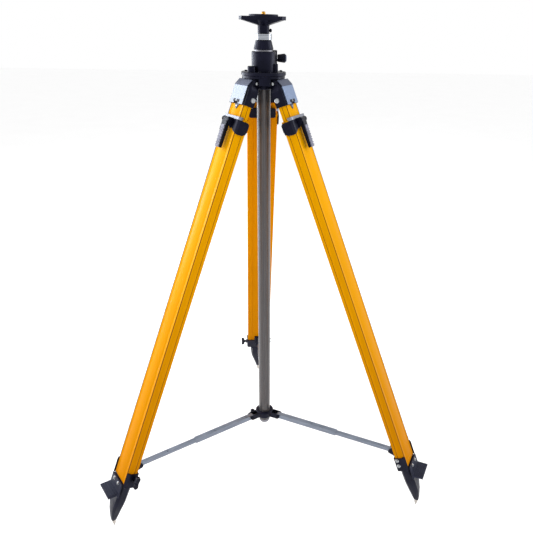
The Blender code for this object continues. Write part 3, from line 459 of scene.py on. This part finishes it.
def shoulder_bolt(leg):
    """Socket-head bolt ends with bright washers on both cheeks."""
    body = f"leg_{leg}"
    washer = [(2.4, 0), (5.2, 0), (5.2, 0.7), (4.9, 1), (2.4, 1), (2.4, 0)]
    head = [(0, 1), (3.9, 1), (3.9, 2.9), (3.5, 3.4), (1.9, 3.4), (1.7, 1.6), (0, 1.6)]
    for side, name in SIDES:
        cheek = (0.5, side * (HALF - 0.3), -SHOULDER_BOLT_DOWN)
        place = LEG_PLACES[leg] @ turn_to((0, side, 0), cheek)
        piece(f"bolt_washer_{name}_{leg}", turned(washer, 32), "ring", body, place, 0)
        piece(f"bolt_head_{name}_{leg}", turned(head, 32), "steel", body, place, 0)


def clamp_outline(grow):
    """The clamp's path round the tube, from the inner edge of one cheek to the other's."""
    half = HALF + grow
    outer = FACE_OUT + grow
    points = [(FACE_IN - 1, half), (FACE_IN + 3, half), (FACE_IN + 8, half), (outer - 6, half)]
    points += [(outer - 4.3, half - 0.4), (outer - 0.8, half - 6), (outer, half - 8)]
    points += [(outer, half - 14), (outer, half - 21), (outer, half - 28), (outer, 3)]
    return points + [(x, -y) for x, y in reversed(points)]


def clamp(leg):
    """Shell with rounded cheeks and an inverted V in front, pale band, inner strap and ears."""
    body = f"lower_{leg}"
    place = LEG_PLACES[leg]
    inner = clamp_outline(0.35)
    tops = [CLAMP_TOP] * len(inner)
    tops[0] = tops[-1] = CLAMP_TOP + 4
    shell = [
        [(*near, -low), (*far, -low), (*far, -top), (*near, -top)]
        for near, far, low, top in zip(inner, clamp_outline(3.4),
                                       CLAMP_EDGE + CLAMP_EDGE[::-1], tops)
    ]
    piece(f"clamp_shell_{leg}", loft(shell), "black", body, place, 0.7,
          [f"clamp_body_{leg}"])
    band = [
        [(*near, -CLAMP_BAND_LOW), (*far, -CLAMP_BAND_LOW), (*far, -CLAMP_BAND_TOP),
         (*near, 0.4 - CLAMP_BAND_TOP)]
        for near, far in zip(clamp_outline(-2.6)[3:-3], clamp_outline(4.1)[3:-3])
    ]
    piece(f"clamp_band_{leg}", loft(band), "band", body, place, 0.6)
    rise = REAR_STRAP_RISE if leg == "rear" else 0
    strap = rounded_box(-30.5, 30.5, rise - 109, rise - 85, 4, 4)
    piece(f"clamp_strap_{leg}", prism(strap, FACE_IN - 3.6, FACE_IN - 0.5, "X"), "black", body,
          place, 0.6)
    ear = arc((LEVER_OUT, -LEVER_DOWN), 6, -50, 120, 8) + [(18.6, -80.5), (18.6, -104)]
    pin = [(0, 0), (2.4, 0), (2.4, 1.3), (1.8, 1.8), (0, 1.8)]
    for side, name in SIDES:
        low, high = sorted((side * 9.5, side * 12.8))
        piece(f"clamp_ear_{name}_{leg}", prism(ear, low, high, "Y"), "black", body, place, 0.5)
        pin_place = place @ turn_to((0, side, 0), (LEVER_OUT, side * 12.7, -LEVER_DOWN))
        piece(f"clamp_pin_{name}_{leg}", turned(pin, 20), "black", body, pin_place, 0)


def lever(leg):
    """Cam lever: a dark body round its pin, with a pale ribbed grip along its outer side."""
    body = f"lever_{leg}"
    place = LEG_PLACES[leg] @ shift(LEVER_OUT, 0, -LEVER_DOWN)
    core = arc((0, 0), 5.6, -20, 180, 12)
    core += [(-5.2, -4), (-3.8, -11), (-3.2, -40), (-2.6, -60.6), (-1.8, -61.8), (3.4, -61.4),
             (4.6, -14)]
    piece(f"lever_core_{leg}", prism(core, -8.9, 8.9, "Y"), "plastic", body, place, 0.5,
          [f"clamp_lever_{leg}"])
    ribs, low_rib, pitch = 7, -58.6, 5.8
    grip = [(4.2, -13), (3.2, -60.9), (4.6, -61.8), (5.8, -60.8)]
    for i in range(ribs):
        base = low_rib + i * pitch
        grip += [(5.0, base - 1.2), (6.5, base - 0.2), (6.6, base + 1.8), (5.1, base + 2.8)]
    grip += [(6.4, -16.5), (6.2, -13)]
    piece(f"lever_grip_{leg}", prism(grip, -6.4, 6.4, "Y"), "lever", body, place, 0.35)


def bracket_details(leg):
    """Two bolts on the bracket's cheek and a raised rib on its inner side."""
    body = f"bracket_{leg}"
    place = LEG_PLACES[leg]
    cheek = HALF + 3
    bolt = [(0, 0), (4.6, 0), (4.6, 0.9), (3.4, 1), (3.4, 3.4), (2.8, 4), (1.6, 4), (1.4, 2.4),
            (0, 2.4)]
    for name, down in BRACKET_BOLTS_DOWN.items():
        piece(f"bracket_bolt_{name}_{leg}", turned(bolt, 28), "steel", body,
              place @ turn_to((0, -1, 0), (-1, 0.2 - cheek, -down)), 0)
    rib = rounded_box(-11, 11, -946, -908, 3, 3)
    piece(f"bracket_rib_{leg}", prism(rib, FACE_IN - 6, FACE_IN - 3.4, "X"), "slate", body,
          place, 0.5)


def wing_knob(leg):
    """Moulded wing knob: a round boss and two rounded wings that thin out inwards."""
    body = f"wing_{leg}"
    place = LEG_PLACES[leg] @ turn_to((0, 1, 0), (-1, 0, -WING_DOWN))
    start = HALF + 7.4
    profile = [(0, -4), (2.6, -4), (2.8, 0), (4.2, 0.8), (4.2, 4.5), (5.6, 6), (6.2, 8.5),
               (5.4, 11.5), (3, 13), (0, 13.4)]
    boss = [(radius, start + height) for radius, height in profile]
    piece(f"wing_boss_{leg}", turned(boss, 32), "plastic", body, place, 0,
          [f"wing_knob_{leg}"])
    wing = [(-3.6, 1.2), (3.6, 1.2), (5.2, 6.5), (5, 10.5), (3.4, 13.6), (0, 14.6), (-3.4, 13.6),
            (-5, 10.5), (-5.2, 6.5)]
    stretch, sweep = 1.08, 2 / 14
    for side, name in ((1, "a"), (-1, "b")):
        outline = [(x, side * y * stretch) for x, y in wing]
        bm = prism(outline, start + 4.4, start + 14)
        for vert in bm.verts:
            if vert.co.z < (start + 8) * MM:
                vert.co.z += sweep * abs(vert.co.y)
        piece(f"wing_{name}_{leg}", bm, "plastic", body, place, 1.2, (), 3)


def foot(leg):
    """Shoe, spike and step pedal, with ribs on the pedal's tread and two bolts above it."""
    body = f"lower_{leg}"
    place = LEG_PLACES[leg]
    refine(f"shoe_{leg}", "black", body, 0.8)
    refine(f"step_pedal_{leg}", "slate", body, 0.7)
    keep(f"spike_{leg}", "spike")
    tread = place @ shift(FACE_OUT + 6.1, 0, -PEDAL_DOWN)
    tread = tread @ Matrix.Rotation(TILT - PEDAL_RISE, 4, "Y")
    ribs, first_rib, pitch = 4, 3, 5.6
    for i in range(ribs):
        low = first_rib + i * pitch
        rib = rounded_box(low, low + 2.8, -25, 25, 1.1, 3)
        piece(f"tread_{i}_{leg}", prism(rib, -0.3, 0.8), "slate", body, tread, 0.25)
    bolt = [(0, 0), (4.4, 0), (4.4, 0.8), (3.3, 1), (3.2, 2.6), (2.6, 3.1), (1.5, 3.1),
            (1.3, 1.8), (0, 1.8)]
    for side, name in SIDES:
        bolt_place = (FACE_OUT + 6, side * 11.3, -PEDAL_BOLT_DOWN)
        piece(f"pedal_bolt_{name}_{leg}", turned(bolt, 28), "steel", body,
              place @ turn_to((1, 0, 0), bolt_place), 0)


def strut_details(leg, azimuth):
    """The strut's flat heel in the hub's ears, and the pin ends outside them."""
    keep(f"strut_{leg}", "strut")
    keep(f"strut_rod_{leg}", "strut")
    turn = COLUMN @ Matrix.Rotation(math.radians(azimuth), 4, "Z")
    heel = [(24, -5.9), (36.6, -5.9), (36.6, 1), (33, 1), (30, -0.4), (24, -0.4)]
    heel = prism([(x, HUB_UP + z) for x, z in heel], -5.8, 5.8, "Y")
    piece(f"strut_heel_{leg}", heel, "strut", f"strut_{leg}", turn, 0.4)
    pin = [(0, 0), (3.2, 0), (3.2, 1), (2.4, 1.6), (0, 1.6)]
    for side, name in SIDES:
        piece(f"hub_pin_{name}_{leg}", turned(pin, 24), "plastic", "spreader",
              turn @ turn_to((0, side, 0), (HUB_PIN_OUT, side * 9.7, HUB_UP)), 0)


# Head and column ------------------------------------------------------------------------------
def lift_knob():
    """Ribbed knob on the pinion shaft, wider at its outer end."""
    place = COLUMN @ shift(0, PINION_BACK, PINION_UP) @ Matrix.Rotation(math.radians(90), 4, "Y")
    ribs = 14
    rings = []
    for along, radius, rise in ((30.8, 6.4, 0.27), (32, 7.2, 0.45), (46, 9.0, 0.45),
                                (48, 8.6, 0.27)):
        rings.append(fluted_ring(along, ribs, lambda phase: radius + rise * math.cos(phase)))
    piece("lift_knob_grip", loft(rings), "plastic", "pinion", place, 0, ["lift_knob"])
    cap = [(0, 47.9), (7.9, 47.9), (7.7, 49.2), (6.2, 50.6), (2.4, 51), (2, 50.2), (0, 50.2)]
    piece("lift_knob_cap", turned(cap), "grey", "pinion", place, 0)
    collar = [(3.4, 29.7), (7, 29.7), (7, 30.9), (3.4, 30.9), (3.4, 29.7)]
    piece("lift_shaft_collar", turned(collar, 32), "steel", "head", place, 0)


def level():
    """Circular level: the vial with a bubble and a dark circle on top."""
    place = COLUMN @ shift(*LEVEL_PLACE)
    keep("level_vial", "liquid")
    refine("level_housing", "black", "head", 0.4)
    bubble = [(0, 1048.25), (1.4, 1048.2), (2.1, 1048), (2.3, 1047.6), (0, 1047.5)]
    piece("level_bubble", turned(bubble, 32), "plate", "head", place, 0)
    circle = [(2.9, 1047.6), (2.9, 1048.15), (3.2, 1048.15), (3.2, 1047.6), (2.9, 1047.6)]
    piece("level_circle", turned(circle, 32), "ink", "head", place, 0)


def head_screws():
    """Dark screws on the flange, bright ones on the gear box cover."""
    screw = [(0, -0.2), (3, -0.2), (3, 1.8), (2.5, 2.3), (1.4, 2.3), (1.3, 1.2), (0, 1.2)]
    for i, angle in enumerate((15, 105, 165, 255, 285)):
        x, y = arc((0, 0), FLANGE_SCREW_OUT, angle, angle, 1)[0]
        piece(f"flange_screw_{i}", turned(screw, 24), "plastic", "head",
              COLUMN @ shift(x, y, FLANGE_TOP), 0)
    screw = [(0, 0), (2.6, 0), (2.6, 0.9), (2.1, 1.4), (1.1, 1.4), (1, 0.8), (0, 0.8)]
    for i, (x, z) in enumerate(((-12, 1051), (25, 1051), (-12, 1073), (25, 1073))):
        piece(f"cover_screw_{i}", turned(screw, 20), "steel", "head",
              COLUMN @ turn_to((0, 1, 0), (x, COVER_BACK, z)), 0)


def sleeve():
    """Tapered clamp sleeve with shallow grip flutes near its lower rim."""
    low, high, flutes = SLEEVE_LOW, SLEEVE_TOP, 20
    rings = []
    for height, radius, depth in ((low, 20.4, 0), (low + 0.8, 20.9, 0), (low + 2, 20.8, 0.25),
                                  (low + 9, 19.1, 0.35), (high - 2.4, 17.3, 0.1),
                                  (high - 0.8, 16.8, 0), (high, 16.2, 0)):
        rings.append(fluted_ring(
            height, flutes, lambda phase: radius - depth * max(0.0, math.cos(phase)) ** 3))
    for height in (high, low):
        rings.append(fluted_ring(height, flutes, lambda phase: SLEEVE_BORE))
    piece("sleeve_look", loft(rings, True), "black", "column_clamp", COLUMN, 0,
          ["clamp_sleeve"])


def stop_ring():
    """Turned ring with two fine grooves."""
    low, high, bore, radius = 1098.5, 1111.1, 10.3, 17.5
    floor = radius - 0.35
    outline = [(bore, low), (radius - 0.8, low), (radius, low + 0.8)]
    for groove in (3.4, 8.8):
        base = low + groove
        outline += [(radius, base), (floor, base + 0.25), (floor, base + 0.6),
                    (radius, base + 0.85)]
    outline += [(radius, high - 0.8), (radius - 0.8, high), (bore, high), (bore, low)]
    piece("stop_ring_look", turned(outline, 64), "ring", "column", COLUMN, 0,
          ["stop_ring"])


def centre():
    bodies = {"head_plate": "column", "gear_housing": "head", "head_hub": "head",
              "spreader_hub": "spreader"}
    for node, body in bodies.items():
        refine(node, "black", body, 0.6)
    kept = {
        "guide_tube": "tube", "tube_end_plug": "plug", "thrust_washer": "plug",
        "lift_column": "tube", "column_rack": "steel", "instrument_screw": "brass",
        "plate_lock_knob": "plastic", "pinion_shaft": "steel", "hub_knob": "plastic",
    }
    for node, material in kept.items():
        keep(node, material)
    lift_knob()
    level()
    head_screws()
    sleeve()
    stop_ring()


# Studio ---------------------------------------------------------------------------------------
FLOOR_SIZE, FLOOR_GAP = 14, 0.0002
LIGHT_TARGET = (0, 0, 0.6)


def area_light(name, place, size, power, colour=(1, 1, 1)):
    light = bpy.data.lights.new(name, "AREA")
    light.shape = "RECTANGLE"
    light.size, light.size_y = size
    light.energy = power
    light.color = colour
    obj = bpy.data.objects.new(name, light)
    bpy.context.scene.collection.objects.link(obj)
    obj.location = place
    ahead = Vector(LIGHT_TARGET) - Vector(place)
    obj.rotation_euler = ahead.to_track_quat("-Z", "Y").to_euler()


def studio():
    shader = Shader("studio_floor", (0.97, 0.97, 0.97), 0.9)
    shader.paint(shader.noise(3.0), (0.965, 0.965, 0.965), (0.975, 0.975, 0.975))
    bm = bmesh.new()
    bmesh.ops.create_grid(bm, x_segments=1, y_segments=1, size=FLOOR_SIZE)
    mesh = bpy.data.meshes.new("floor")
    bm.to_mesh(mesh)
    bm.free()
    mesh.materials.append(shader.material)
    floor = bpy.data.objects.new("floor", mesh)
    bpy.context.scene.collection.objects.link(floor)
    floor.location.z = CAD_BOX[0][2] - FLOOR_GAP
    world = bpy.data.worlds.new("studio")
    world.use_nodes = True
    background = world.node_tree.nodes["Background"]
    background.inputs["Color"].default_value = (1, 1, 1, 1)
    background.inputs["Strength"].default_value = 1.0
    bpy.context.scene.world = world
    bpy.context.scene.view_settings.view_transform = "Standard"
    area_light("key_left", (-2.8, 0.35, 1.5), (1.0, 2.4), 62)
    area_light("rim_left", (-2.1, 2.0, 1.2), (0.6, 2.2), 60, (0.86, 0.93, 1))
    area_light("key_right", (2.8, 0.1, 1.5), (0.8, 2.2), 42, (0.95, 0.97, 1))


def camera():
    """The viewpoint: in front and a little to the left, turned right and tilted down."""
    place = (-0.066, AXIS_Y - 1.284, 1.1303)
    yaw, pitch, roll = math.radians(6.57), math.radians(23.08), math.radians(1.28)
    level_ahead = math.cos(pitch)
    ahead = Vector((math.sin(yaw) * level_ahead, math.cos(yaw) * level_ahead, -math.sin(pitch)))
    right = Vector((math.cos(yaw), -math.sin(yaw), 0))
    up = right.cross(ahead)
    across = right * math.cos(roll) + up * math.sin(roll)
    rise = up * math.cos(roll) - right * math.sin(roll)
    data = bpy.data.cameras.new("camera")
    data.lens = 38.38
    data.sensor_width = 36
    data.shift_x = -0.0577
    obj = bpy.data.objects.new("camera", data)
    bpy.context.scene.collection.objects.link(obj)
    turn = Matrix((across, rise, -ahead)).transposed().to_4x4()
    obj.matrix_world = Matrix.Translation(place) @ turn
    bpy.context.scene.camera = obj


def main():
    for leg, azimuth in LEGS.items():
        leg_sections(leg)
        refine(f"leg_shoulder_{leg}", "black", f"leg_{leg}", 0.6)
        keep(f"hinge_pin_{leg}", "steel")
        keep(f"shoulder_bolt_{leg}", "steel")
        shoulder_plate(leg)
        shoulder_bolt(leg)
        clamp(leg)
        lever(leg)
        refine(f"strut_bracket_{leg}", "black", f"bracket_{leg}", 0.5)
        bracket_details(leg)
        wing_knob(leg)
        foot(leg)
        strut_details(leg, azimuth)
    centre()
    studio()
    camera()


def corners(box):
    return [[float(value) for value in corner] for corner in box]


main()
bpy.context.view_layer.update()
